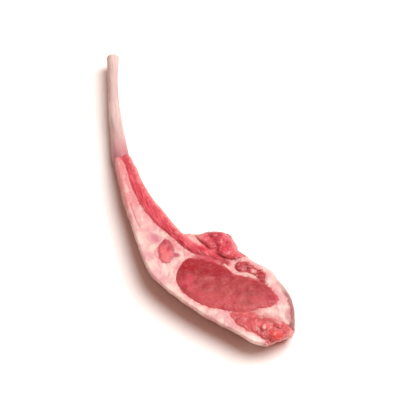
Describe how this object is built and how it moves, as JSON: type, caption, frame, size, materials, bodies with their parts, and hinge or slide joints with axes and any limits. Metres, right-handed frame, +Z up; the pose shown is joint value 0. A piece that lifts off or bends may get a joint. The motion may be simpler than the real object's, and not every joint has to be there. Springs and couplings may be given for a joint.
{
  "type": "raw lamb chop",
  "caption": "Raw Frenched lamb rib chop lying on its cut face: bare curved rib, round eye of lean meat, fat cover and torn meat along the inner edge.",
  "frame": {"origin": "middle of the chop's box in the plan, at the height of its flat underside", "axes": "+X runs from the tip of the rib to the loin end, +Z is up out of the cut face, and +Y is the hollow inner side, away from the fat cover"},
  "size_m": [0.18, 0.0582, 0.0173],
  "materials": {
    "rib_bone": "moist scraped bone, cream with a lilac-grey side",
    "fat": "raw lamb fat, pale pink and cream, moist",
    "eye_muscle": "raw lean lamb, deep red, moist",
    "small_muscle": "raw lean lamb, salmon red, moist",
    "rib_strip": "raw lean lamb, bright red, moist",
    "knob_meat": "torn raw lamb, red with pale streaks, moist",
    "back_meat": "torn raw lamb, dark red, moist",
    "end_muscle": "torn raw lamb, red to orange-red, moist"
  },
  "bodies": {
    "root": {"rib_bone": "rib_bone", "fat": "fat", "eye_muscle": "eye_muscle", "small_muscle": "small_muscle", "rib_strip": "rib_strip", "knob_meat": "knob_meat", "back_meat": "back_meat", "end_muscle": "end_muscle"}
  },
  "joints": []
}
